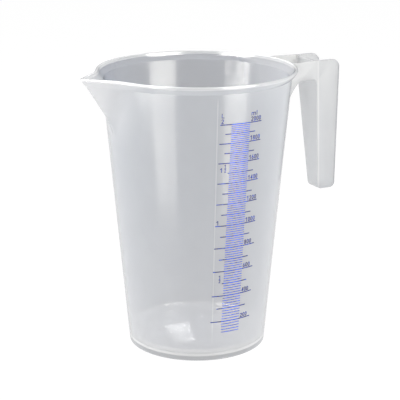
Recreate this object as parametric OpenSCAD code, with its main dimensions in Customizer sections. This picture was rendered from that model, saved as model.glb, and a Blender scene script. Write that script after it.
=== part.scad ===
// Two-litre measuring jug: a tapered body on a foot ring, a flared rim, a V-shaped
// pouring spout, an open channel handle and a printed double scale.
// The origin is the centre of the foot ring, on the table. +Z is up, the handle points
// along +X, the spout along -X, and the scale faces -Y. Millimetres.

/* [Body] */
// Height from the table to the rim
jug_h = 214; // [178:1:258]
// Outer radius of the tapered wall at the table
foot_r = 52.8; // [44:0.1:64]
// Outer radius that the straight wall would have at the rim
mouth_r = 71.9; // [66:0.1:87]
// Thickness of the moulded wall
wall = 1.6; // [1.2:0.1:2.4]

/* [Base] */
// Height at which the base ends and the wall begins
base_h = 12; // [11:0.5:20]
// Height of the gap under the edge of the floor
foot_gap = 3.5; // [2:0.1:5]
// Width of the foot ring
foot_ring_w = 2.2; // [1.6:0.1:4]
// Radius of the rounded outer edge of the foot ring
foot_round = 0.8; // [0.3:0.1:1.2]
// Thickness of the floor
floor_t = 2; // [1.6:0.1:2.8]
// Rise of the domed floor from its edge to its centre
dome_h = 8; // [4:0.5:12]
// Radius of the fillet where the floor meets the wall
floor_fillet = 4; // [2:0.5:5]
// Radius of the sunk gate mark in the middle of the floor
gate_r = 6.5; // [3:0.5:10]
// Depth of the gate mark
gate_depth = 0.5; // [0.2:0.1:0.8]

/* [Rim] */
// Height of the flared rim
flare_h = 6.5; // [4:0.5:10]
// How far the rim stands out past the straight wall
flare_out = 3.7; // [3:0.1:6]
// Angle of the crease where the flare leaves the wall, from upright
flare_angle = 18; // [8:1:25]
// Radius of the rounded bead along the top of the rim
bead_r = 1.2; // [0.8:0.1:1.6]

/* [Spout] */
// How far the tip of the spout reaches past the rim
spout_reach = 19.2; // [12:0.1:26]
// Height from the foot of the spout on the wall up to the rim
spout_drop = 39; // [28:1:60]
// Half of the spout's width where it meets the rim
spout_half_w = 22; // [16:0.5:30]

/* [Handle] */
// From the axis of the jug to the outer edge of the handle, at the rim
grip_out_top = 116.2; // [108:0.1:140]
// How far the outer edge leans out on its way down
grip_lean = 4.1; // [0:0.1:6]
// Depth of the grip at the rim, from its inner face to its outer edge
grip_depth_top = 20.8; // [16:0.1:25]
// Depth of the grip at its lower end
grip_depth_end = 16; // [12:0.1:20]
// Width over both side webs at the rim
grip_w_top = 32; // [26:0.5:40]
// Width over both side webs at the lower end
grip_w_end = 14.4; // [11:0.1:20]
// Length of the handle, down from the rim
grip_len = 105.7; // [85:0.1:124]
// Depth of the arm that joins the grip to the body
arm_h = 15; // [12:0.5:20]
// Thickness of the handle's webs and plates
grip_wall = 2; // [1.5:0.1:2.6]
// Radius of the outer corner at the top of the webs
grip_top_r = 7; // [3:0.5:10]
// Radius of the corners at the lower end of the grip
grip_end_r = 4; // [3:0.5:6]
// Radius inside the corner between the arm and the grip
grip_inner_r = 4; // [2:0.5:6]
// Radius of the long hollow under the arm, from the body upwards
arm_root_r = 44; // [30:1:50]
// Angle through which the long hollow turns
arm_root_turn = 40; // [20:1:45]
// Radius between the long hollow and the arm's flat underside
arm_corner_r = 6; // [2:0.5:10]
// Angle at which the arm's webs spread towards the body
arm_spread = 6; // [0:0.5:10]

/* [Scale] */
// Volume at the top line, in millilitres, on a jug that holds that much
scale_top_ml = 2000; // [1000:100:2000]
// Least gap from the top line up to the crease of the rim
scale_clear = 14; // [12:0.5:24]
// Volume at the lowest line, in millilitres
scale_first_ml = 120; // [60:20:200]
// Volume between two neighbouring lines, in millilitres
scale_step_ml = 20; // [20:20:100]
// Width of the ladder of lines, along the wall
ladder_w = 15; // [10:0.5:20]
// Thickness of a fine line
fine_line = 0.5; // [0.4:0.05:0.6]
// Thickness of a hundred's line and its ticks
bold_line = 0.7; // [0.5:0.05:0.9]
// Length of the litre tick at every even hundred
litre_tick_long = 8.5; // [6:0.1:12]
// Length of the litre tick at every odd hundred
litre_tick_short = 4.4; // [3:0.1:6]
// Length of the litre tick at a half litre
litre_tick_half = 1.2; // [1:0.1:2]
// Length of the millilitre tick at every even hundred
ml_tick_long = 10.3; // [8:0.1:14]
// Length of the millilitre tick at every odd hundred
ml_tick_short = 4.9; // [3:0.1:7]
// Height of the millilitre numerals
ml_digit_h = 3.4; // [2.8:0.1:4.4]
// Height of the litre numerals
litre_digit_h = 3.4; // [2.8:0.1:4.4]
// Gap between a numeral and the lines around it
digit_clear = 0.8; // [0.5:0.1:1.2]
// Thickness of the film of ink
ink = 0.12; // [0.08:0.01:0.2]

/* [Hidden] */
$fn = 96;
cut = 1;
milky = [0.86, 0.89, 0.91, 0.6];
milky_edge = [0.92, 0.94, 0.95, 0.6];
ink_blue = [0.12, 0.17, 0.62];

function arc(x, y, r, a0, a1, n = 8) = [
    for (i = [0:n])
        let (a = a0 + (a1 - a0) * i / n)
            [x + r * cos(a), y + r * sin(a)]
];
function reversed(points) = [for (i = [len(points) - 1:-1:0]) points[i]];

// The tapered wall
slope = (mouth_r - foot_r) / jug_h;
wall_lean = atan(slope);
function outer_r(z) = foot_r + slope * z;
function inner_r(z) = outer_r(z) - wall;

// The floor: a shallow dome whose edge meets the wall in a fillet
floor_z = foot_gap + floor_t;
fillet_x = inner_r(floor_z + floor_fillet) - floor_fillet / cos(wall_lean);
foot_ring_r = foot_r - foot_ring_w;
function dome(edge_z, half) =
    let (r = (half * half + dome_h * dome_h) / (2 * dome_h))
        arc(0, edge_z + dome_h - r, r, 90, 90 - asin(half / r), 10);

// The flare: one arc, outside and inside, from the crease to the bead
rim_r = mouth_r + flare_out;
flare_z = jug_h - flare_h;
bead_z = jug_h - bead_r;
function flare(x0, x1) =
    let (
        end_angle = 2 * atan2(x1 - x0, bead_z - flare_z) - flare_angle,
        r = (x1 - x0) / (cos(flare_angle) - cos(end_angle))
    )
        arc(x0 + r * cos(flare_angle), flare_z - r * sin(flare_angle), r,
            180 - flare_angle, 180 - end_angle);
flare_outside = flare(outer_r(flare_z), rim_r);
flare_inside = flare(inner_r(flare_z), rim_r - 2 * bead_r);

// The spout: two flat flanks that meet in a ridge, from its foot on the wall to its tip
tip_x = rim_r + spout_reach;
spout_side_x = sqrt(rim_r * rim_r - spout_half_w * spout_half_w);
ridge = [tip_x - outer_r(jug_h - spout_drop), 0, -spout_drop];
brow = [tip_x - spout_side_x, spout_half_w, 0];
flank_normal = cross(ridge, brow);
channel_shift = wall * norm(flank_normal) / abs(flank_normal[0]);
ridge_past_wall = 1.6;
ridge_past_rim = 0.1;

// The handle: its outline from the side, and its width at a height
grip_end_z = jug_h - grip_len;
arm_z = jug_h - arm_h;
function down(z) = (jug_h - z) / grip_len;
function grip_out(z) = grip_out_top + grip_lean * down(z);
function grip_in(z) = grip_out(z) - grip_depth_top + (grip_depth_top - grip_depth_end) * down(z);
web_lean = atan((grip_w_top - grip_w_end) / 2 / grip_len);
inner_corner_z = arm_z - grip_inner_r;
inner_corner_x = grip_in(inner_corner_z) - grip_inner_r;
arm_root_z = arm_z - arm_root_r * sin(arm_root_turn) - arm_corner_r * (1 - sin(arm_root_turn));
arm_root_x = outer_r(arm_root_z) + arm_root_r;
arm_corner_x = arm_root_x - (arm_root_r - arm_corner_r) * cos(arm_root_turn);
arm_corner_z = arm_z - arm_corner_r;
function arm_hollow(depth) = concat(
    arc(arm_root_x, arm_root_z, arm_root_r + depth, 180, 180 - arm_root_turn),
    arc(arm_corner_x, arm_corner_z, arm_corner_r + depth, 180 - arm_root_turn, 90)
);
end_z = grip_end_z + grip_end_r;
end_in_x = grip_in(end_z) + grip_end_r;
end_out_x = grip_out(end_z) - grip_end_r;
top_corner_z = jug_h - grip_top_r;
top_corner_x = grip_out(top_corner_z) - grip_top_r;
rib_drop = 1;

// The scale: a line's height follows from the volume that the jug holds below it
mm3_per_ml = 1000;
dome_volume = PI * dome_h * (3 * fillet_x * fillet_x + dome_h * dome_h) / 6;
fillet_volume = (1 - PI / 4) * floor_fillet * floor_fillet * 2 * PI * fillet_x;
function fill_r(volume) = pow(
    pow(inner_r(floor_z), 3)
        + 3 * slope * (volume * mm3_per_ml + dome_volume + fillet_volume) / PI,
    1 / 3);
function fill_z(volume) = (fill_r(volume) + wall - foot_r) / slope;
function held_ml(z) =
    (PI * (pow(inner_r(z), 3) - pow(inner_r(floor_z), 3)) / (3 * slope) - dome_volume - fillet_volume)
        / mm3_per_ml;
top_ml = min(scale_top_ml, 100 * floor(held_ml(flare_z - scale_clear) / 100));
function along(z, distance) = distance / outer_r(z) * 180 / PI;
function is_hundred(v) = v % 100 == 0;
function is_even_hundred(v) = v % 200 == 0;
function is_half_litre(v) = v % 1000 == 500;
first_hundred = 100 * ceil(scale_first_ml / 100);
first_even_hundred = 200 * ceil(scale_first_ml / 200);
stroke = 0.15;
digit_w = 0.52;
digit_pitch = 0.68;
fraction = 1.75;
glyph_depth = 3;

// Solid of revolution from a list of [radius, height] points
module turned(points) {
    rotate_extrude() polygon(points);
}

// Everything inside the outer surface of the body and its rim
module body_envelope() {
    turned(concat(
        [[0, -cut], [outer_r(-cut), -cut]],
        flare_outside,
        [[rim_r, jug_h + cut], [0, jug_h + cut]]
    ));
}

// The space inside the wall and the rim
module body_cavity() {
    turned(concat(
        [[0, base_h], [inner_r(base_h), base_h]],
        flare_inside,
        arc(rim_r - bead_r, bead_z, bead_r, 180, 90),
        [[rim_r - bead_r, jug_h + cut], [0, jug_h + cut]]
    ));
}

// A wedge whose two flanks meet in the spout's ridge, cut flat at the rim's height
module spout_wedge(shift, past_rim) {
    tip = [shift - tip_x, 0, jug_h] - past_rim * ridge;
    polyhedron(
        points = [
            tip,
            tip + ridge_past_wall * ridge,
            tip + ridge_past_wall * brow,
            tip + ridge_past_wall * [brow[0], -brow[1], 0]
        ],
        faces = [[0, 1, 2], [0, 3, 1], [0, 2, 3], [1, 3, 2]]
    );
}

module jug_wall() {
    color(milky)
    difference() {
        turned([
            [inner_r(base_h), base_h], [outer_r(base_h), base_h],
            [outer_r(flare_z), flare_z], [inner_r(flare_z), flare_z]
        ]);
        spout_wedge(0, 0);
    }
}

module jug_base() {
    color(milky)
    difference() {
        turned(concat(
            dome(floor_z, fillet_x),
            arc(fillet_x, floor_z + floor_fillet, floor_fillet, -90, -wall_lean),
            [[inner_r(base_h), base_h], [outer_r(base_h), base_h]],
            arc(outer_r(foot_round) - foot_round, foot_round, foot_round, 0, -90),
            [[foot_ring_r, 0]],
            reversed(dome(foot_gap, foot_ring_r))
        ));
        translate([0, 0, floor_z + dome_h - gate_depth])
            cylinder(r = gate_r, h = floor_t);
    }
}

module rim_flare() {
    color(milky_edge)
    difference() {
        turned(concat(
            flare_outside,
            arc(rim_r - bead_r, bead_z, bead_r, 0, 180, 12),
            reversed(flare_inside)
        ));
        spout_wedge(0, ridge_past_rim);
    }
}

module pouring_spout() {
    color(milky)
    difference() {
        spout_wedge(0, 0);
        spout_wedge(channel_shift, ridge_past_rim);
        body_cavity();
    }
}

// A plate seen from the side, as [x, z] points, wide enough to cross the handle
module side_plate(points) {
    rotate([90, 0, 0])
        linear_extrude(2 * grip_w_top, center = true) polygon(points);
}

// What lies between two depths behind the front web's outer face. Seen from above, that
// face spreads along the arm towards the body, and it leans in towards the grip's lower end.
module behind_front(depth, to_depth) {
    spread = grip_in(jug_h) * tan(arm_spread);
    translate([0, -grip_w_top / 2, jug_h])
        rotate([web_lean, 0, 0])
            translate([0, 0, -2 * grip_len])
                linear_extrude(3 * grip_len)
                    polygon([
                        [0, depth - spread], [grip_in(jug_h), depth], [2 * grip_out_top, depth],
                        [2 * grip_out_top, to_depth], [grip_in(jug_h), to_depth], [0, to_depth - spread]
                    ]);
}

// One side web, leaning in towards the lower end of the grip
module handle_web() {
    difference() {
        intersection() {
            side_plate(concat(
                [[0, jug_h], [0, arm_root_z]],
                arm_hollow(0),
                arc(inner_corner_x, inner_corner_z, grip_inner_r, 90, 0),
                arc(end_in_x, end_z, grip_end_r, 180, 270),
                arc(end_out_x, end_z, grip_end_r, -90, 0),
                arc(top_corner_x, top_corner_z, grip_top_r, 0, 90)
            ));
            behind_front(0, grip_wall);
        }
        body_envelope();
    }
}

// A plate that fills the space between the two webs, from its outline seen from the side
module between_webs(points) {
    difference() {
        intersection() {
            side_plate(points);
            behind_front(grip_wall, 2 * grip_w_top);
            mirror([0, 1, 0]) behind_front(grip_wall, 2 * grip_w_top);
        }
        body_envelope();
    }
}

module handle_front_web() {
    color(milky) handle_web();
}

module handle_back_web() {
    color(milky) mirror([0, 1, 0]) handle_web();
}

module handle_arm_plate() {
    color(milky_edge)
    between_webs(concat(
        arm_hollow(0),
        arc(inner_corner_x, inner_corner_z, grip_inner_r, 90, 0),
        arc(inner_corner_x, inner_corner_z, grip_inner_r + grip_wall, 0, 90),
        reversed(arm_hollow(grip_wall))
    ));
}

module handle_grip_plate() {
    color(milky_edge)
    between_webs([
        [grip_in(inner_corner_z), inner_corner_z], [grip_in(inner_corner_z) + grip_wall, inner_corner_z],
        [grip_in(end_z) + grip_wall, end_z], [grip_in(end_z), end_z]
    ]);
}

module handle_end_cap() {
    color(milky_edge)
    between_webs(concat(
        arc(end_in_x, end_z, grip_end_r, 180, 270),
        arc(end_out_x, end_z, grip_end_r, -90, 0),
        arc(end_out_x, end_z, grip_end_r - grip_wall, 0, -90),
        arc(end_in_x, end_z, grip_end_r - grip_wall, 270, 180)
    ));
}

// The grip's inner face carried on above the arm, as a rib across the channel
module handle_top_rib() {
    color(milky_edge)
    difference() {
        between_webs([
            [grip_in(arm_z), inner_corner_z], [grip_in(arm_z) + grip_wall, inner_corner_z],
            [grip_in(jug_h) + grip_wall, jug_h - rib_drop], [grip_in(jug_h), jug_h - rib_drop]
        ]);
        side_plate(concat(
            [[inner_corner_x, arm_root_z], [inner_corner_x, arm_z + grip_wall]],
            arc(inner_corner_x, inner_corner_z, grip_inner_r + grip_wall, 90, 0),
            [[inner_corner_x + grip_inner_r + grip_wall, arm_root_z]]
        ));
    }
}

// A printed line round the wall: left and right are distances from the scale's centre
module printed_line(z, left, right, thickness) {
    z0 = z - thickness / 2;
    z1 = z + thickness / 2;
    rotate([0, 0, along(z, left) - 90])
        rotate_extrude(angle = along(z, right - left))
            polygon([
                [outer_r(z0), z0], [outer_r(z0) + ink, z0],
                [outer_r(z1) + ink, z1], [outer_r(z1), z1]
            ]);
}

module scale_lines() {
    color(ink_blue)
    for (v = [scale_first_ml : scale_step_ml : top_ml])
        printed_line(fill_z(v), -ladder_w / 2, ladder_w / 2, is_hundred(v) ? bold_line : fine_line);
}

module litre_ticks() {
    color(ink_blue)
    for (v = [first_hundred : 100 : top_ml]) {
        reach = is_half_litre(v) ? litre_tick_half : is_even_hundred(v) ? litre_tick_long : litre_tick_short;
        printed_line(fill_z(v), -ladder_w / 2 - reach, -ladder_w / 2, bold_line);
    }
}

module millilitre_ticks() {
    color(ink_blue)
    for (v = [first_hundred : 100 : top_ml])
        printed_line(fill_z(v), ladder_w / 2,
            ladder_w / 2 + (is_even_hundred(v) ? ml_tick_long : ml_tick_short), bold_line);
}

// A straight stroke of a glyph between two points
module pen(x0, y0, x1, y1, s) {
    translate([x0, y0])
        rotate(atan2(y1 - y0, x1 - x0))
            translate([-s / 2, -s / 2])
                square([norm([x1 - x0, y1 - y0]) + s, s]);
}

// An upright loop with round ends, w wide and h high
module loop(x, y, w, h, s) {
    difference() {
        union() {
            translate([x + w / 2, y + w / 2]) circle(w / 2);
            translate([x + w / 2, y + h - w / 2]) circle(w / 2);
            translate([x, y + w / 2]) square([w, h - w]);
        }
        translate([x + w / 2, y + w / 2]) circle(w / 2 - s);
        translate([x + w / 2, y + h - w / 2]) circle(w / 2 - s);
        translate([x + s, y + w / 2]) square([w - 2 * s, h - w]);
    }
}

// One character of the scale, h high, with its lower left corner at the origin
module glyph(c, h) {
    w = digit_w * h;
    s = stroke * h;
    m = s / 2;
    if (c == "0") loop(0, 0, w, h, s);
    if (c == "1") {
        pen(0.6 * w, m, 0.6 * w, h - m, s);
        pen(0.1 * w, 0.72 * h, 0.6 * w, h - m, s);
    }
    if (c == "2") {
        difference() {
            loop(0, h - 1.2 * w, w, 1.2 * w, s);
            translate([-cut, h - 1.2 * w - cut]) square([w + 2 * cut, 0.7 * w + cut]);
        }
        pen(w - m, h - 0.6 * w, m, m, s);
        pen(m, m, w - m, m, s);
    }
    if (c == "4") {
        pen(0.72 * w, m, 0.72 * w, h - m, s);
        pen(0.72 * w, h - m, m, 0.3 * h, s);
        pen(m, 0.3 * h, w - m, 0.3 * h, s);
    }
    if (c == "6") {
        loop(0, 0, w, 0.62 * h, s);
        pen(m, 0.4 * h, 0.55 * w, h - m, s);
    }
    if (c == "8") {
        loop(0, 0, w, 0.56 * h, s);
        loop(0.05 * w, 0.56 * h - s, 0.9 * w, 0.44 * h + s, s);
    }
    if (c == "m") {
        pen(m, m, m, 0.62 * h, s);
        pen(0.45 * h + m, m, 0.45 * h + m, 0.62 * h, s);
        pen(0.9 * h + m, m, 0.9 * h + m, 0.62 * h, s);
        pen(m, 0.62 * h, 0.9 * h + m, 0.62 * h, s);
    }
    if (c == "l") pen(0.4 * w, m, 0.4 * w, h - m, s);
    if (c == "L") {
        pen(m, m, m, h - m, s);
        pen(m, m, w, m, s);
    }
    if (c == "/") {
        translate([0, 0.56 * h]) glyph("1", 0.44 * h);
        translate([0, 0.47 * h]) square([0.44 * w, 0.06 * h]);
        glyph("2", 0.44 * h);
    }
}

// Printed characters, starting at a distance from the scale's centre, on a baseline
module printed(characters, left, z, h) {
    for (i = [0 : len(characters) - 1])
        rotate([0, 0, along(z, left + i * digit_pitch * h)])
            translate([0, -outer_r(z), z])
                rotate([90, 0, 0])
                    linear_extrude(glyph_depth, center = true) glyph(characters[i], h);
}

// The part of the children that lies in the film of ink on the wall
module in_ink() {
    intersection() {
        turned([
            [outer_r(base_h), base_h], [outer_r(base_h) + ink, base_h],
            [outer_r(flare_z) + ink, flare_z], [outer_r(flare_z), flare_z]
        ]);
        union() children();
    }
}

module litre_numerals() {
    h = litre_digit_h;
    left = -ladder_w / 2 - litre_tick_long + digit_clear;
    half_left = -ladder_w / 2 - litre_tick_half - digit_clear - digit_w * h;
    color(ink_blue)
    in_ink() {
        if (scale_first_ml < 500)
            printed("/", half_left, fill_z(500) + bold_line, fraction * h);
        printed("1", left, fill_z(1000) + digit_clear, h);
        if (top_ml >= 1500) {
            printed("1", half_left - digit_pitch * h - digit_clear, fill_z(1500) + digit_clear, h);
            printed("/", half_left, fill_z(1500) + bold_line, fraction * h);
        }
        if (top_ml >= 2000) {
            printed("2", left, fill_z(2000) + digit_clear, h);
            printed("L", left, fill_z(2000) + 2 * digit_clear + h, h);
        }
    }
}

module millilitre_numerals() {
    h = ml_digit_h;
    left = ladder_w / 2 + digit_clear;
    color(ink_blue)
    in_ink() {
        for (v = [first_even_hundred : 200 : top_ml])
            printed(str(v), left, fill_z(v) + digit_clear, h);
        printed("m", left, fill_z(top_ml) + 2 * digit_clear + h, h);
        printed("l", left + 1.2 * h, fill_z(top_ml) + 2 * digit_clear + h, h);
    }
}

jug_wall();
jug_base();
rim_flare();
pouring_spout();
handle_front_web();
handle_back_web();
handle_arm_plate();
handle_grip_plate();
handle_end_cap();
handle_top_rib();
scale_lines();
litre_ticks();
millilitre_ticks();
litre_numerals();
millilitre_numerals();
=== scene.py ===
"""A two-litre measuring jug: its seamless moulded body, its channel handle, the printed scale
and a plain studio around it. Every piece is added from the panel in the 3D view's sidebar."""

import math
import bpy
from bpy.props import FloatProperty, FloatVectorProperty, PointerProperty
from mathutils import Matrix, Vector


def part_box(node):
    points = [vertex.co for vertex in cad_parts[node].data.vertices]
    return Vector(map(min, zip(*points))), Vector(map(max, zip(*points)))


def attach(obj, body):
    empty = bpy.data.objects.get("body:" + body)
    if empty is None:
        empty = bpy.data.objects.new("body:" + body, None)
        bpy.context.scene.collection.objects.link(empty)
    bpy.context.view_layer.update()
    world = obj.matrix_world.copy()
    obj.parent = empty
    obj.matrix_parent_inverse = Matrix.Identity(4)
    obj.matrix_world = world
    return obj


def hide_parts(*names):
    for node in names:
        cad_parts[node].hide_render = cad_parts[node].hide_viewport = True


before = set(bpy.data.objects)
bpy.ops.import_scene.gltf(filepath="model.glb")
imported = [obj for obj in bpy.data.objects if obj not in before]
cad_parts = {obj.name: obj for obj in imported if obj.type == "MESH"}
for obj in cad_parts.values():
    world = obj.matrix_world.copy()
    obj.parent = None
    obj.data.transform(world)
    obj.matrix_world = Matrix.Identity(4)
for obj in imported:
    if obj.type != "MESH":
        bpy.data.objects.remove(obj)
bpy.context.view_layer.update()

bl_info = {
    "name": "Measuring jug",
    "version": (1, 0, 0),
    "blender": (4, 5, 0),
    "location": "3D View > Sidebar > Jug",
    "description": "Builds a moulded measuring jug, its finishes and a small studio",
    "category": "Add Mesh",
}

MM = 0.001
BODY_NODES = ("jug_wall", "jug_base", "rim_flare", "pouring_spout")
HANDLE_NODES = (
    "handle_front_web", "handle_back_web", "handle_arm_plate",
    "handle_grip_plate", "handle_end_cap", "handle_top_rib",
)
SCALE_NODES = (
    "scale_lines", "litre_ticks", "millilitre_ticks", "litre_numerals", "millilitre_numerals",
)

SPOUT_FROM_Z = 150 * MM
SPOUT_SECTOR = math.radians(27)
FINE_START = math.radians(180 - 28)
# Degrees and steps of each stretch of the spin: close together over the spout, closest at its ridge.
BODY_SWEEPS = ((22, 22), (4, 8), (4, 12), (4, 8), (22, 22), (304, 192))


def low(node):
    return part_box(node)[0]


def high(node):
    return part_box(node)[1]


def length(name, description, default, **limits):
    return FloatProperty(
        name=name, description=description, default=default, unit="LENGTH", precision=5, **limits
    )


def share(name, description, default):
    return FloatProperty(
        name=name, description=description, default=default, min=0.0, max=1.0, subtype="FACTOR"
    )


def colour(name, description, default):
    return FloatVectorProperty(
        name=name, description=description, default=default, min=0.0, max=1.0, subtype="COLOR"
    )


class JugBodySettings(bpy.types.PropertyGroup):
    height: length("Height", "From the table to the top of the rim", high("rim_flare").z)
    foot_radius: length("Foot radius", "Outer radius of the wall at the table", 52.8 * MM)
    mouth_radius: length("Mouth radius", "Outer radius of the straight wall, carried up to the rim",
                         71.9 * MM)
    rim_radius: length("Rim radius", "Outer radius of the flared rim", high("rim_flare").y)
    wall: length("Wall", "Thickness of the moulded wall", 1.6 * MM)
    flare_height: length("Flare height", "Height of the flared rim",
                         high("rim_flare").z - low("rim_flare").z)
    bead: length("Bead", "Radius of the bead along the rim", 1.2 * MM)
    foot_gap: length("Foot gap", "Height of the gap under the edge of the floor", 3.5 * MM)
    foot_ring: length("Foot ring", "Width of the foot ring", 2.2 * MM)
    floor: length("Floor", "Thickness of the floor", 2.0 * MM)
    dome: length("Dome", "Rise of the floor from its edge to its centre", 8.0 * MM)
    floor_fillet: length("Floor fillet", "Radius where the floor meets the wall", 4.0 * MM)
    gate: length("Gate", "Radius of the sunk gate mark in the floor", 6.5 * MM)
    spout_reach: length("Spout reach", "From the axis to the tip of the spout", -low("pouring_spout").x)
    spout_foot: length("Spout foot", "Height at which the spout leaves the wall", low("pouring_spout").z)
    spout_half_width: length("Spout half width", "Half of the spout's width at the rim", 22.0 * MM)
    spout_blend: length("Spout blend", "Width of the soft hollow between the spout and the wall", 5.0 * MM)
    spout_nose: length("Spout nose", "Radius of the spout's rounded ridge", 1.3 * MM)
    seam: FloatProperty(name="Witness line", description="Turn of the faint line beside the scale",
                        default=math.radians(-104.9), subtype="ANGLE")


class JugHandleSettings(bpy.types.PropertyGroup):
    outer_edge: length("Outer edge", "From the axis to the handle's outer edge, at the rim", 116.2 * MM)
    lean: length("Lean", "How far the outer edge leans out on its way down", 4.1 * MM)
    depth_top: length("Depth at the top", "Depth of the grip at the rim", 20.8 * MM)
    depth_end: length("Depth at the end", "Depth of the grip at its lower end", 16.0 * MM)
    width_top: length("Width at the top", "Width over both webs at the rim", 32.0 * MM)
    width_end: length("Width at the end", "Width over both webs at the lower end", 14.4 * MM)
    drop: length("Drop", "Length of the grip, down from the rim",
                 high("handle_front_web").z - low("handle_front_web").z)
    arm: length("Arm", "Depth of the arm that joins the grip to the body", 15.0 * MM)
    wall: length("Wall", "Thickness of the webs and plates", 2.0 * MM)
    top_radius: length("Top radius", "Outer corner at the top of the webs", 7.0 * MM)
    end_radius: length("End radius", "Corners at the lower end of the grip", 4.0 * MM)
    inner_radius: length("Inner radius", "Corner between the arm and the grip", 4.0 * MM)
    root_radius: length("Root radius", "Long hollow under the arm, from the body upwards", 44.0 * MM)
    root_turn: FloatProperty(name="Root turn", description="Angle through which the long hollow turns",
                             default=math.radians(40.0), subtype="ANGLE")
    arm_radius: length("Arm radius", "Between the long hollow and the arm's flat underside", 6.0 * MM)
    spread: FloatProperty(name="Spread", description="Angle at which the arm's webs spread to the body",
                          default=math.radians(6.0), subtype="ANGLE")
    rib_drop: length("Rib drop", "How far the cross rib stops below the rim", 1.0 * MM)
    root_depth: length("Root depth", "How far the handle runs into the body's wall", 0.7 * MM)
    edge_round: length("Edge round", "Rounding of the moulded edges", 0.55 * MM)


class JugPlasticSettings(bpy.types.PropertyGroup):
    outside: colour("Outside", "Colour of the cloudy plastic outside", (0.86, 0.88, 0.91))
    # The inside colour is painted shade: the inner skin is the same plastic as the outer one, given a
    # darker tone.
    inside: colour("Inside", "Colour of the cloudy plastic inside with painted shade", (0.42, 0.45, 0.52))
    floor: colour("Floor", "Colour of the cloudy plastic of the floor", (0.95, 0.95, 0.96))
    handle: colour("Handle", "Colour of the cloudy plastic of the handle", (0.91, 0.915, 0.92))
    cloud: share("Cloud", "How much one skin of the body hides, seen straight on", 0.34)
    handle_cloud: share("Handle cloud", "How much one skin of the handle hides", 0.42)
    gloss: share("Gloss roughness", "Roughness of the moulded skin", 0.14)
    handle_gloss: share("Handle roughness", "Roughness of the handle's skin", 0.38)


class JugInkSettings(bpy.types.PropertyGroup):
    ink: colour("Ink", "Colour of the printed ink", (0.008, 0.010, 0.16))
    thin: colour("Thin ink", "Colour of the ink where it lies thin", (0.006, 0.100, 0.95))


class JugStudioSettings(bpy.types.PropertyGroup):
    lens: FloatProperty(name="Lens", description="Focal length", default=119.97 * MM, unit="CAMERA")
    distance: length("Distance", "From the camera to the middle of the jug", 1.0257)
    azimuth: FloatProperty(name="Azimuth", description="The camera's turn round the jug from its front",
                           default=math.radians(-27.0), subtype="ANGLE")
    elevation: FloatProperty(name="Elevation", description="The camera's height as an angle",
                             default=math.radians(16.5), subtype="ANGLE")
    backdrop: share("Backdrop", "Brightness of the backdrop", 1.0)
    room: share("Room", "Brightness of the room that lights the jug", 0.50)
    behind: share("Behind the plastic", "Brightness of what shows through the plastic", 0.42)


# ---------------------------------------------------------------- modelling helpers


def fresh_start():
    if bpy.context.object and bpy.context.object.mode != "OBJECT":
        bpy.ops.object.mode_set(mode="OBJECT")
    bpy.ops.object.select_all(action="DESELECT")


def arc(x, z, radius, start, end, steps):
    """Points of an arc in the side view, with its angles in degrees."""
    turns = [math.radians(start + (end - start) * i / steps) for i in range(steps + 1)]
    return [(x + radius * math.cos(t), z + radius * math.sin(t)) for t in turns]


def draw_chain(name, points):
    """One vertex, extruded from point to point. Leaves edit mode on, with all selected."""
    fresh_start()
    bpy.ops.mesh.primitive_plane_add(size=MM, location=(0, 0, 0))
    piece = bpy.context.object
    piece.name = name
    piece.data.name = name
    bpy.ops.object.mode_set(mode="EDIT")
    bpy.ops.mesh.select_all(action="SELECT")
    bpy.ops.mesh.merge(type="CENTER")
    bpy.ops.transform.translate(value=points[0])
    for here, there in zip(points, points[1:]):
        bpy.ops.mesh.extrude_vertices_move(TRANSFORM_OT_translate={"value": there - here})
    bpy.ops.mesh.select_all(action="SELECT")
    return piece


def turn_profile(name, profile, start, sweeps):
    """Spins a [radius, height] profile about the jug's axis, in stretches of its own density."""
    outline = [Vector((r * math.cos(start), r * math.sin(start), z)) for r, z in profile]
    piece = draw_chain(name, outline)
    for degrees, steps in sweeps:
        bpy.ops.mesh.spin(steps=steps, angle=math.radians(degrees), center=(0, 0, 0), axis=(0, 0, 1))
    bpy.ops.mesh.select_all(action="SELECT")
    bpy.ops.mesh.remove_doubles(threshold=0.00002)
    bpy.ops.mesh.normals_make_consistent(inside=False)
    bpy.ops.object.mode_set(mode="OBJECT")
    return piece


def extrude_outline(name, outline, crease, half_width):
    """A solid from its side view, its width following half_width(x, z), with a crease across it."""
    points = [Vector((x, -1.0 * MM, z)) for x, z in outline]
    piece = draw_chain(name, points)
    bpy.ops.mesh.edge_face_add()
    bpy.ops.mesh.extrude_region_move(TRANSFORM_OT_translate={"value": (0, 2.0 * MM, 0)})
    bpy.ops.mesh.select_all(action="SELECT")
    bpy.ops.mesh.normals_make_consistent(inside=False)
    bpy.ops.mesh.bisect(plane_co=(crease, 0, 0), plane_no=(1, 0, 0))
    bpy.ops.object.mode_set(mode="OBJECT")
    for vertex in piece.data.vertices:
        vertex.co.y *= half_width(vertex.co.x, vertex.co.z) / MM
    return piece


def cut_away(piece, tool):
    """Takes the tool's solid out of the piece and removes the tool."""
    fresh_start()
    bpy.context.view_layer.objects.active = piece
    piece.select_set(True)
    cut = piece.modifiers.new("Cut", "BOOLEAN")
    cut.operation = "DIFFERENCE"
    cut.solver = "MANIFOLD"
    cut.object = tool
    bpy.ops.object.modifier_apply(modifier=cut.name)
    bpy.data.objects.remove(tool)


def smooth(piece, degrees):
    fresh_start()
    bpy.context.view_layer.objects.active = piece
    piece.select_set(True)
    bpy.ops.object.shade_smooth_by_angle(angle=math.radians(degrees))
    piece.select_set(False)


def soft_max(a, b, width):
    """The larger of two lengths, with a round transition where they are close."""
    near = max(width - abs(a - b), 0.0) / width
    return max(a, b) + near * near * width / 4


# ---------------------------------------------------------------- the body's shape


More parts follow.
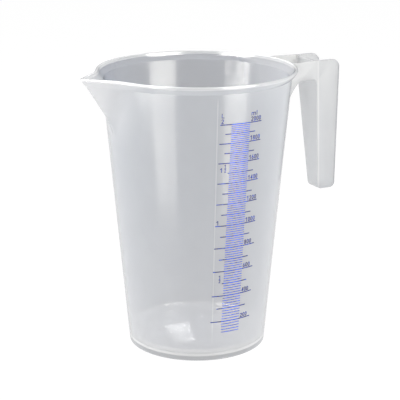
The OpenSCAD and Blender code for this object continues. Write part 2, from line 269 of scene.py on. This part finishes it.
class BodyShape:
    """The two skins of the jug's wall, rim and spout, as radii at a height and a turn."""

    def __init__(self, s):
        self.s = s
        self.slope = (s.mouth_radius - s.foot_radius) / s.height
        self.lean = math.degrees(math.atan(self.slope))
        self.crease = s.height - s.flare_height
        self.bead_z = s.height - s.bead
        self.floor_z = s.foot_gap + s.floor
        self.fillet_x = (self.inner(self.floor_z + s.floor_fillet)
                         - s.floor_fillet / math.cos(math.radians(self.lean)))
        side = math.sqrt(s.rim_radius ** 2 - s.spout_half_width ** 2)
        self.flank = math.atan2(s.spout_reach - side, s.spout_half_width)
        self.ridge_run = (s.spout_reach - self.outer(s.spout_foot)) / (s.height - s.spout_foot)

    def outer(self, z):
        return self.s.foot_radius + self.slope * z

    def inner(self, z):
        return self.outer(z) - self.s.wall

    def flare(self, z, start, end):
        """Radius on the flare's arc, which leaves the wall at the crease and ends upright."""
        t = min(max((z - self.crease) / (self.bead_z - self.crease), 0.0), 1.0)
        bow = 0.62
        return start + (end - start) * ((1 - bow) * t + bow * (2 * t - t * t))

    def outside(self, z):
        if z <= self.crease:
            return self.outer(z)
        return self.flare(z, self.outer(self.crease), self.s.rim_radius)

    def inside(self, z):
        if z <= self.crease:
            return self.inner(z)
        return self.flare(z, self.inner(self.crease), self.s.rim_radius - 2 * self.s.bead)

    def flank_radius(self, turn, z, setback):
        """Distance from the axis to the spout's flank, for a turn measured from the spout."""
        s = self.s
        ridge = s.spout_reach + s.spout_nose * 0.8 - (s.height - z) * self.ridge_run - setback
        sideways = math.hypot(math.sin(turn), s.spout_nose / s.spout_reach)
        return ridge * math.cos(self.flank) / (
            math.cos(turn) * math.cos(self.flank) + sideways * math.sin(self.flank))

    def skins(self, turn, z):
        """Radii of the inner and the outer skin in the spout's sector."""
        s = self.s
        level = min(z, self.bead_z)
        lip_share = 0.25
        lip = lip_share * (self.outside(level) - self.outer(level))
        full_lip = lip_share * (s.rim_radius - self.outer(self.bead_z))
        outer = soft_max(
            self.outside(level), self.flank_radius(turn, level, full_lip) + lip, s.spout_blend)
        thickness = s.wall * 1.45 + (2 * s.bead - s.wall) * max(level - self.crease, 0) / s.flare_height
        inner = soft_max(
            self.inside(level), self.flank_radius(turn, level, full_lip + thickness) + lip,
            s.spout_blend)
        return min(inner, outer - 0.8 * s.wall), outer

    def profile(self):
        """The jug's half section, from the middle of its underside to the middle of its floor."""
        s = self.s
        foot_inner = s.foot_radius - s.foot_ring
        round_foot = 0.8 * MM
        round_ring = 0.6 * MM
        round_heel = 0.3 * MM

        def dome(edge_z, half, steps):
            radius = (half * half + s.dome * s.dome) / (2 * s.dome)
            centre = edge_z + s.dome - radius
            return arc(0.0, centre, radius, 90, 90 - math.degrees(math.asin(half / radius)), steps)

        under = dome(s.foot_gap, foot_inner - round_ring, 14)
        ring = arc(foot_inner - round_ring, s.foot_gap - round_ring, round_ring, 90, 0, 3)[1:]
        ring += arc(foot_inner + round_heel, round_heel, round_heel, 180, 270, 3)
        foot = arc(self.outer(round_foot) - round_foot, round_foot, round_foot, -90, 0, 6)
        low_wall = [(self.outer(z * MM), z * MM) for z in (3, 6, 9, 12, 16)]
        low_wall += [(self.outer(z * MM), z * MM) for z in range(24, 152, 12)]
        count = 34
        first = 156 * MM
        heights = [first + (self.crease - first) * i / count for i in range(count + 1)]
        high_wall = [(self.outer(z), z) for z in heights]
        flare = [self.crease + (self.bead_z - self.crease) * i / 8 for i in range(1, 9)]
        outer_flare = [(self.outside(z), z) for z in flare]
        bead = arc(s.rim_radius - s.bead, self.bead_z, s.bead, 0, 180, 12)[1:-1]
        inner_flare = [(self.inside(z), z) for z in reversed(flare)]
        inner_wall = [(r - s.wall, z) for r, z in reversed(high_wall)]
        inner_wall += [(r - s.wall, z) for r, z in reversed(low_wall) if z > self.floor_z + s.floor_fillet]
        fillet = arc(self.fillet_x, self.floor_z + s.floor_fillet, s.floor_fillet, -self.lean, -90, 8)
        floor = list(reversed(dome(self.floor_z, self.fillet_x, 14)))[1:]
        floor = [p for p in floor if p[0] > s.gate + 1.0 * MM]
        top = self.floor_z + s.dome - 0.1 * MM
        sunk = top - 0.5 * MM
        gate = [(s.gate + 0.3 * MM, top), (s.gate, top - 0.1 * MM), (s.gate - 0.2 * MM, top - 0.45 * MM),
                (s.gate - 0.6 * MM, sunk), (0.5 * s.gate, sunk), (0.0, sunk)]
        return (under + ring + foot + low_wall + high_wall + outer_flare + bead + inner_flare
                + inner_wall + fillet + floor + gate)


def pull_spout(piece, shape):
    """Draws the wall and the rim out into the spout."""
    for vertex in piece.data.vertices:
        x, y, z = vertex.co
        if z < SPOUT_FROM_Z or x > 0:
            continue
        turn = math.atan2(y, -x)
        if abs(turn) > SPOUT_SECTOR:
            continue
        level = min(z, shape.bead_z)
        radius = math.hypot(x, y)
        across = (radius - shape.inside(level)) / (shape.outside(level) - shape.inside(level))
        inner, outer = shape.skins(turn, z)
        radius = inner + (outer - inner) * across
        vertex.co.x = -radius * math.cos(turn)
        vertex.co.y = radius * math.sin(turn)


# ---------------------------------------------------------------- finishes

WHITE = (1.0, 1.0, 1.0)
WHITISH = (0.98, 0.98, 0.99)
PALE = (0.90, 0.91, 0.92)
# Painted shade over the handle's near web.
WEB_SHADE_GREY = (0.72, 0.74, 0.78)
# Painted shadow on the foot ring.
FOOT_SHADOW_GREY = (0.55, 0.56, 0.58)
# Painted shade towards the plastic's sides.
SIDE_SHADE_GREY = (0.42, 0.44, 0.47)
# Painted shade along the handle's outer edge.
EDGE_SHADE_GREY = (0.30, 0.31, 0.34)
# Painted shade along the plastic's outline.
OUTLINE_SHADE_GREY = (0.16, 0.17, 0.19)
PAPER_GREY = (0.12, 0.12, 0.12)
WARM_WHITE = (1.0, 0.98, 0.92)


class Value:
    """A socket's value in a tree of nodes, on which plain arithmetic adds its nodes."""

    def __init__(self, nodes, socket):
        self.nodes = nodes
        self.socket = socket

    def math(self, operation, *others):
        return self.nodes.node("ShaderNodeMath", {"operation": operation}, [self, *others])

    def __add__(self, other):
        return self.math("ADD", other)

    __radd__ = __add__

    def __sub__(self, other):
        return self.math("SUBTRACT", other)

    def __rsub__(self, other):
        return self.nodes.node("ShaderNodeMath", {"operation": "SUBTRACT"}, [other, self])

    def __mul__(self, other):
        return self.math("MULTIPLY", other)

    __rmul__ = __mul__

    def __rtruediv__(self, other):
        return self.nodes.node("ShaderNodeMath", {"operation": "DIVIDE"}, [other, self])

    def __pow__(self, other):
        return self.math("POWER", other)


class Nodes:
    """A tree of nodes under construction."""

    def __init__(self, tree):
        self.tree = tree

    def node(self, kind, settings=None, inputs=(), out=0):
        """Adds a node with its settings and sockets, and gives the value of one output."""
        node = self.tree.nodes.new(kind)
        for key, value in (settings or {}).items():
            setattr(node, key, value)
        pairs = inputs.items() if isinstance(inputs, dict) else enumerate(inputs)
        for key, value in pairs:
            self.feed(node.inputs[key], value)
        return None if out is None else Value(self, node.outputs[out])

    def feed(self, socket, value):
        if isinstance(value, Value):
            self.tree.links.new(value.socket, socket)
        elif isinstance(value, (tuple, list)) and len(value) == 3 and socket.type == "RGBA":
            socket.default_value = (*value, 1.0)
        else:
            socket.default_value = value

    def ray(self, what):
        return self.node("ShaderNodeLightPath", out=what)

    def range(self, value, low_in, high_in, low_out=0.0, high_out=1.0):
        return self.node("ShaderNodeMapRange", {}, [value, low_in, high_in, low_out, high_out])


class Finish(Nodes):
    """A procedural material under construction."""

    def __init__(self, name):
        self.material = bpy.data.materials.new(name)
        self.material.use_nodes = True
        super().__init__(self.material.node_tree)
        self.tree.nodes.clear()

    def place(self):
        return self.node("ShaderNodeTexCoord", out="Object")

    def stretched(self, scale):
        return self.node("ShaderNodeMapping", {}, {"Vector": self.place(), "Scale": scale})

    def noise(self, vector, scale, detail, roughness):
        return self.node(
            "ShaderNodeTexNoise", {},
            {"Vector": vector, "Scale": scale, "Detail": detail, "Roughness": roughness},
        )

    def axis(self, letter):
        return self.node("ShaderNodeSeparateXYZ", {}, [self.place()], letter)

    def mix(self, factor, first, second):
        return self.node("ShaderNodeMix", {"data_type": "RGBA"}, {0: factor, 6: first, 7: second}, 2)

    def bump(self, height, strength, distance):
        return self.node(
            "ShaderNodeBump", {}, {"Strength": strength, "Distance": distance, "Height": height})

    def surface(self, shader):
        self.node("ShaderNodeOutputMaterial", {}, {"Surface": shader}, None)

    def principled(self, values):
        self.surface(self.node("ShaderNodeBsdfPrincipled", {}, values))


class CloudyPlastic(Finish):
    """Natural polypropylene: cloudy, with flow marks; it hides more where it is seen along the skin, and
    its colour carries painted shade towards the sides and along the outline.
    """

    def __init__(self, name, tone, cloud):
        super().__init__(name)
        self.flow = self.noise(self.stretched((14.0, 14.0, 2.2)), 1.0, 3.0, 0.55)
        self.haze = self.noise(self.place(), 55.0, 4.0, 0.6)
        self.x, self.y, self.z = self.axis("X"), self.axis("Y"), self.axis("Z")
        self.hiding = cloud * (0.94 + self.flow * 0.08 + self.haze * 0.06)
        self.tone = tone

    def where(self, mask, tone, strength=1.0, hiding=None):
        """Where the mask is on, the plastic takes on a tone, and hides more if that is given."""
        self.tone = self.mix(mask * strength, self.tone, tone)
        if hiding is not None:
            self.hiding = self.hiding + mask * hiding

    def bead(self, bead_z, flare_height):
        """The bead above a height is whiter, and the flare under it a little cloudier."""
        flared = self.range(self.z, bead_z - 0.66 * flare_height, bead_z - 0.5 * MM)
        self.hiding = self.hiding + flared * 0.05
        self.where(self.range(self.z, bead_z - 0.3 * MM, bead_z + 0.5 * MM), PALE, hiding=0.26)

    def near_the_top(self, from_x, to_x, strength, hiding):
        """The upper wall is whiter towards one side: at the spout, or at the handle's root."""
        mask = self.range(self.x, from_x, to_x) * self.range(self.z, 160 * MM, 185 * MM)
        self.where(mask, WHITISH, strength, hiding)

    def low_wall(self, start_z):
        """Painted light from the bright floor: the wall is lighter on its way down to the floor."""
        self.where(self.range(self.z, start_z, 20 * MM), WHITISH, strength=0.75)

    def foot(self, foot_z):
        """Painted highlight and painted shadow at the foot: a light line along the floor's edge, and
        painted shadow on the foot ring under it.
        """
        self.where(self.range(self.z, foot_z, foot_z - 1.0 * MM), FOOT_SHADOW_GREY, hiding=0.24)
        # The light line is a painted highlight.
        line = (self.range(self.z, foot_z - 0.8 * MM, foot_z)
                * self.range(self.z, foot_z + 2.0 * MM, foot_z + 1.0 * MM))
        self.where(line, WHITE, hiding=0.30)

    def floor_edge(self, radius):
        """The floor is lighter outside a radius."""
        across = (self.x * self.x + self.y * self.y) ** 0.5
        self.where(self.range(across, radius, radius + 2.0 * MM), WHITE, hiding=0.25)

    def witness_line(self, turn):
        """A faint line runs up the wall at one turn about the axis."""
        aside = (self.x * math.sin(turn) - self.y * math.cos(turn)).math("ABSOLUTE")
        line = (self.range(aside, 0.55 * MM, 0.25 * MM)
                * self.range(self.y, 0.0, -10 * MM)
                * self.range(self.z, 12 * MM, 30 * MM)
                * self.range(self.z, 206 * MM, 200 * MM))
        self.where(line, WHITE, strength=0.5, hiding=0.05)

    def painted_band(self, start, width, top, lean, tone, strength):
        """A band of painted highlight and painted shade, in the tone given, that leans in the side view;
        start is its x at the height top.
        """
        run = self.x - (top - self.z) * lean - start
        soft = 0.2 * MM
        mask = self.range(run, -soft, soft) * self.range(run, width + soft, width - soft)
        self.where(mask, tone, strength)

    def close(self, gloss, shine, painted_side_shade, painted_outline_shade):
        """Adds the shader, with painted shade towards the sides and the darkest painted shade along the
        outline.
        """
        facing = self.node("ShaderNodeLayerWeight", {}, {"Blend": 0.5}, "Facing")
        straight = self.node("ShaderNodeMath", {"operation": "MAXIMUM"}, [1.0 - facing, 0.14])
        through = 1.0 - self.hiding
        marks = self.range(self.haze + self.flow, 0.7, 1.3, 0.0, 0.06)
        body = self.mix(marks, self.tone, WHITE)
        # Painted shade: the colour greys towards the sides and darkens along the outline, by the angle of
        # view.
        body = self.mix(facing ** 2.0 * painted_side_shade, body, SIDE_SHADE_GREY)
        edge = self.range(facing, 0.68, 0.98) ** 1.6
        self.principled({
            "Base Color": self.mix(edge * painted_outline_shade, body, OUTLINE_SHADE_GREY),
            "Roughness": self.range(self.haze, 0.3, 0.7, gloss * 0.8, gloss * 1.3),
            "IOR": 1.5,
            "Specular IOR Level": shine,
            "Alpha": 1.0 - through ** (1.0 / straight),
        })


def printed_ink(name, settings, cover):
    """Screen-printed ink, a little uneven: the lower the cover, the more of it lies thin."""
    finish = Finish(name)
    patch = finish.noise(finish.place(), 380.0, 4.0, 0.6)
    speck = finish.noise(finish.place(), 2400.0, 2.0, 0.5)
    thin = finish.range(patch * 0.7 + speck * 0.3 - cover, 0.0, 0.22)
    finish.principled({
        "Base Color": finish.mix(thin, tuple(settings.ink), tuple(settings.thin)),
        "Roughness": finish.range(speck, 0.3, 0.7, 0.38, 0.55),
        "Specular IOR Level": 0.4,
        "Alpha": finish.range(patch, 0.35, 0.7, 0.98, 0.90),
        "Normal": finish.bump(speck * 0.5 + patch * 0.5, 0.25, 0.0001),
    })
    return finish.material


# ---------------------------------------------------------------- operators


class JUG_OT_body(bpy.types.Operator):
    """Add the seamless body: foot, floor, tapered wall, flared rim and pouring spout"""
    bl_idname = "jug.body"
    bl_label = "Jug body"

    def execute(self, context):
        settings = context.scene.jug_body
        plastic = context.scene.jug_plastic
        shape = BodyShape(settings)
        piece = turn_profile("jug_body", shape.profile(), FINE_START, BODY_SWEEPS)
        pull_spout(piece, shape)
        bead_z = settings.height - 2 * settings.bead
        spout_side = (-61 * MM, -78 * MM)
        handle_side = (56 * MM, 66 * MM)

        outside = CloudyPlastic("cloudy plastic outside", tuple(plastic.outside), plastic.cloud)
        outside.bead(bead_z, settings.flare_height)
        outside.near_the_top(*spout_side, strength=0.8, hiding=0.20)
        # Painted light from the bright floor on the lower wall.
        outside.low_wall(140 * MM)
        # Painted highlight along the floor's edge and painted shadow on the foot ring.
        outside.foot(settings.foot_gap + 1.0 * MM)
        outside.witness_line(settings.seam)
        outside.close(plastic.gloss, shine=1.0, painted_side_shade=0.5, painted_outline_shade=0.9)

        # A shaded copy of the outside finish: its darker tone is painted shade.
        inside = CloudyPlastic("cloudy plastic inside with painted shade", tuple(plastic.inside), plastic.cloud * 0.75)
        inside.bead(bead_z, settings.flare_height)
        inside.near_the_top(*spout_side, strength=0.8, hiding=0.20)
        inside.near_the_top(*handle_side, strength=0.56, hiding=0.28)
        inside.close(plastic.gloss, shine=1.0, painted_side_shade=0.0, painted_outline_shade=0.8)

        floor = CloudyPlastic("cloudy plastic floor", tuple(plastic.floor), plastic.cloud * 1.3)
        floor.floor_edge(shape.fillet_x - 1.5 * MM)
        floor.close(plastic.gloss * 0.3, shine=1.0, painted_side_shade=0.5, painted_outline_shade=0.3)

        for finish in (outside, inside, floor):
            piece.data.materials.append(finish.material)
        above_floor_edge = 9 * MM
        above_floor = 20 * MM
        looks_up = 0.35
        # Faces that look up near the floor take the floor finish; faces that look into the jug take the
        # inside finish and its painted shade.
        for face in piece.data.polygons:
            c, n = face.center, face.normal
            if n.z > looks_up and c.z < above_floor:
                face.material_index = 2
            elif n.x * c.x + n.y * c.y < 0 and c.z > above_floor_edge:
                face.material_index = 1
        smooth(piece, 32)
        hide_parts(*BODY_NODES)
        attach(piece, "root")
        return {"FINISHED"}


class JUG_OT_handle(bpy.types.Operator):
    """Add the open channel handle, from the rim down to its rounded end"""
    bl_idname = "jug.handle"
    bl_label = "Jug handle"

    def execute(self, context):
        body = BodyShape(context.scene.jug_body)
        plastic = context.scene.jug_plastic
        s = context.scene.jug_handle
        top = context.scene.jug_body.height
        end = top - s.drop

        def down(z):
            return (top - z) / s.drop

        def out_x(z):
            return s.outer_edge + s.lean * down(z)

        def in_x(z):
            return out_x(z) - s.depth_top + (s.depth_top - s.depth_end) * down(z)

        crease = in_x(top)

        def half_width(x, z):
            return ((s.width_top + (s.width_end - s.width_top) * down(z)) / 2
                    + max(crease - x, 0.0) * math.tan(s.spread))

        arm_z = top - s.arm
        corner_z = arm_z - s.inner_radius
        corner_x = in_x(corner_z) - s.inner_radius
        turn = math.degrees(s.root_turn)
        root_z = arm_z - s.root_radius * math.sin(s.root_turn) - s.arm_radius * (1 - math.sin(s.root_turn))
        root_x = body.outer(root_z) + s.root_radius
        bend_x = root_x - (s.root_radius - s.arm_radius) * math.cos(s.root_turn)
        bend_z = arm_z - s.arm_radius
        end_z = end + s.end_radius
        end_in = in_x(end_z) + s.end_radius
        end_out = out_x(end_z) - s.end_radius
        top_z = top - s.top_radius
        top_x = out_x(top_z) - s.top_radius
        start_x = 55 * MM
        beyond = 140 * MM
        overshoot = 6 * MM
        plate = s.wall

        def hollow(depth):
            return (arc(root_x, root_z, s.root_radius + depth, 180, 180 - turn, 14)
                    + arc(bend_x, bend_z, s.arm_radius + depth, 180 - turn, 90, 7)[1:])

        solid = extrude_outline("jug_handle", (
            [(start_x, top), (start_x, root_z)]
            + hollow(0.0)
            + arc(corner_x, corner_z, s.inner_radius, 90, 0, 6)
            + arc(end_in, end_z, s.end_radius, 180, 270, 6)
            + arc(end_out, end_z, s.end_radius, -90, 0, 6)
            + arc(top_x, top_z, s.top_radius, 0, 90, 8)
        ), crease, half_width)
        rib_z = top - s.rib_drop
        floor_z = arm_z + plate
        channel = extrude_outline("channel", (
            [(start_x - 5 * MM, top + overshoot), (start_x - 5 * MM, root_z)]
            + hollow(plate)
            + [(in_x(floor_z), floor_z), (in_x(rib_z), rib_z), (in_x(rib_z) + plate, rib_z)]
            + arc(end_in, end_z, s.end_radius - plate, 180, 270, 5)
            + arc(end_out, end_z, s.end_radius - plate, -90, 0, 5)
            + [(beyond, end_z), (beyond, top + overshoot)]
        ), crease, lambda x, z: half_width(x, z) - plate)
        cut_away(solid, channel)

        fresh_start()
        context.view_layer.objects.active = solid
        solid.select_set(True)
        edges = solid.modifiers.new("Edges", "BEVEL")
        edges.width = s.edge_round
        edges.segments = 3
        edges.limit_method = "ANGLE"
        edges.angle_limit = math.radians(38)
        edges.use_clamp_overlap = True
        bpy.ops.object.modifier_apply(modifier=edges.name)

        heights = [z * MM for z in (150, 190, 207.5, 208.5, 209.5, 210.5, 211.5, 212.8, 216)]
        core = [(body.outside(z) - s.root_depth, z) for z in heights]
        core = [(0.0, heights[0]), *core, (0.0, heights[-1])]
        cut_away(solid, turn_profile("core", core, 0.0, ((180, 96), (180, 96))))

        finish = CloudyPlastic("cloudy plastic handle", tuple(plastic.handle), plastic.handle_cloud)
        inner_lean = (s.lean + s.depth_top - s.depth_end) / s.drop
        # Painted shade along the outer edge, a painted highlight along the crease, and painted shade over
        # the near web.
        finish.painted_band(s.outer_edge - 1.3 * MM, 3.0 * MM, top, s.lean / s.drop, EDGE_SHADE_GREY, strength=0.7)
        finish.painted_band(crease + 0.5 * MM, 1.3 * MM, top, inner_lean, WHITE, strength=0.8)
        finish.painted_band(crease + 2.0 * MM, 20.0 * MM, top, inner_lean, WEB_SHADE_GREY, strength=0.5)
        finish.close(plastic.handle_gloss, shine=0.5, painted_side_shade=0.5, painted_outline_shade=0.9)
        solid.data.materials.clear()
        solid.data.materials.append(finish.material)
        smooth(solid, 32)
        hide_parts(*HANDLE_NODES)
        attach(solid, "root")
        return {"FINISHED"}


class JUG_OT_scale(bpy.types.Operator):
    """Give the printed scale its ink"""
    bl_idname = "jug.scale"
    bl_label = "Printed scale"

    def execute(self, context):
        settings = context.scene.jug_ink
        full = printed_ink("scale ink", settings, cover=0.48)
        fine = printed_ink("scale ink, fine lines", settings, cover=0.34)
        for name in SCALE_NODES:
            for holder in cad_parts[name].material_slots:
                holder.material = fine if name == "scale_lines" else full
        return {"FINISHED"}


def area_light(name, place, target, width, height, power, seen_in_gloss, tint):
    fresh_start()
    bpy.ops.object.light_add(type="AREA", location=place)
    lamp = bpy.context.object
    lamp.name = name
    lamp.data.shape = "RECTANGLE"
    lamp.data.size = width
    lamp.data.size_y = height
    lamp.data.energy = power
    lamp.data.color = tint
    lamp.rotation_euler = (Vector(target) - Vector(place)).to_track_quat("-Z", "Y").to_euler()
    lamp.visible_camera = False
    lamp.visible_transmission = False
    lamp.visible_glossy = seen_in_gloss
    lamp.visible_diffuse = not seen_in_gloss


class JUG_OT_studio(bpy.types.Operator):
    """Add the floor, the backdrop, the soft lights and the camera"""
    bl_idname = "jug.studio"
    bl_label = "Studio"

    def execute(self, context):
        s = context.scene.jug_studio
        centre = Vector((0.0, 0.0, context.scene.jug_body.height / 2))
        view = Vector((math.sin(s.azimuth), -math.cos(s.azimuth), 0.0))

        def around(degrees, distance, height):
            turn = s.azimuth + math.radians(degrees)
            return Vector((math.sin(turn) * distance, -math.cos(turn) * distance, height))

        fresh_start()
        bpy.ops.mesh.primitive_circle_add(vertices=64, radius=6.0, fill_type="NGON", location=(0, 0, 0))
        floor = context.object
        floor.name = "studio_floor"
        paper = Finish("pale paper")
        glow = 0.93
        seen_through = paper.ray("Transparent Depth").math("MINIMUM", 1.0) * paper.ray("Is Camera Ray")
        level = s.backdrop + seen_through * (s.behind - s.backdrop)
        emission = paper.node(
            "ShaderNodeEmission", {}, {"Color": WHITE, "Strength": level * glow})
        diffuse = paper.node("ShaderNodeBsdfDiffuse", {}, {"Color": PAPER_GREY})
        paper.surface(paper.node("ShaderNodeAddShader", {}, [emission, diffuse]))
        floor.data.materials.append(paper.material)

        world = bpy.data.worlds.new("studio")
        world.use_nodes = True
        context.scene.world = world
        room = Nodes(world.node_tree)
        through = room.range(room.ray("Transparent Depth"), 0.0, 1.0, s.backdrop, s.behind)
        back = room.tree.nodes["Background"]
        room.feed(back.inputs["Color"], WHITE)
        room.feed(back.inputs["Strength"], room.range(room.ray("Is Camera Ray"), 0.0, 1.0, s.room, through))

        middle = (0, 0, 0.12)
        for light in (
            ("strip_right", around(47, 0.55, 0.32), middle, 0.39, 0.75, 17.5, True, WARM_WHITE),
            ("strip_left", around(-56, 0.55, 0.32), middle, 0.37, 0.75, 16.5, True, WARM_WHITE),
            ("window", around(187.6, 1.014, 0.83), (0, 0, 0.01), 0.19, 0.56, 3.6, True, WHITE),
            ("soft_right", around(80, 1.0, 0.8), middle, 0.6, 0.6, 3.0, False, WHITE),
            ("soft_left", around(-80, 1.0, 0.8), middle, 0.6, 0.6, 4.0, False, WHITE),
            ("soft_top", (0, 0, 1.2), middle, 0.5, 0.5, 3.0, False, WHITE),
        ):
            area_light(*light)

        fresh_start()
        place = centre + view * (s.distance * math.cos(s.elevation))
        place.z += s.distance * math.sin(s.elevation)
        bpy.ops.object.camera_add(location=place)
        camera = context.object
        camera.name = "studio_camera"
        camera.rotation_euler = (centre - place).to_track_quat("-Z", "Y").to_euler()
        camera.data.lens = s.lens / MM
        camera.data.sensor_width = 36.0
        camera.data.dof.use_dof = False
        camera.data.shift_x = 0.008
        camera.data.shift_y = 0.01275
        camera.data.clip_start = 0.01
        context.scene.camera = camera
        context.scene.view_settings.view_transform = "Standard"
        context.scene.cycles.transparent_max_bounces = 24
        return {"FINISHED"}


class JUG_PT_panel(bpy.types.Panel):
    """Every piece of the jug, with its sizes"""
    bl_idname = "JUG_PT_panel"
    bl_label = "Measuring jug"
    bl_space_type = "VIEW_3D"
    bl_region_type = "UI"
    bl_category = "Jug"

    def draw(self, context):
        scene = context.scene
        groups = (
            (JUG_OT_body, (scene.jug_body, scene.jug_plastic)),
            (JUG_OT_handle, (scene.jug_handle,)),
            (JUG_OT_scale, (scene.jug_ink,)),
            (JUG_OT_studio, (scene.jug_studio,)),
        )
        for operator, holders in groups:
            box = self.layout.box()
            box.operator(operator.bl_idname)
            for holder in holders:
                for name in holder.bl_rna.properties.keys():
                    if name not in ("rna_type", "name"):
                        box.prop(holder, name)


SETTINGS = {
    "jug_body": JugBodySettings,
    "jug_handle": JugHandleSettings,
    "jug_plastic": JugPlasticSettings,
    "jug_ink": JugInkSettings,
    "jug_studio": JugStudioSettings,
}
OPERATORS = (JUG_OT_body, JUG_OT_handle, JUG_OT_scale, JUG_OT_studio)


def register():
    for holder in SETTINGS.values():
        bpy.utils.register_class(holder)
    for name, holder in SETTINGS.items():
        setattr(bpy.types.Scene, name, PointerProperty(type=holder))
    for operator in OPERATORS:
        bpy.utils.register_class(operator)
    bpy.utils.register_class(JUG_PT_panel)


def unregister():
    bpy.utils.unregister_class(JUG_PT_panel)
    for operator in reversed(OPERATORS):
        bpy.utils.unregister_class(operator)
    for name, holder in SETTINGS.items():
        delattr(bpy.types.Scene, name)
        bpy.utils.unregister_class(holder)


def main():
    register()
    bpy.ops.jug.body()
    bpy.ops.jug.handle()
    bpy.ops.jug.scale()
    bpy.ops.jug.studio()


if __name__ == "__main__":
    main()
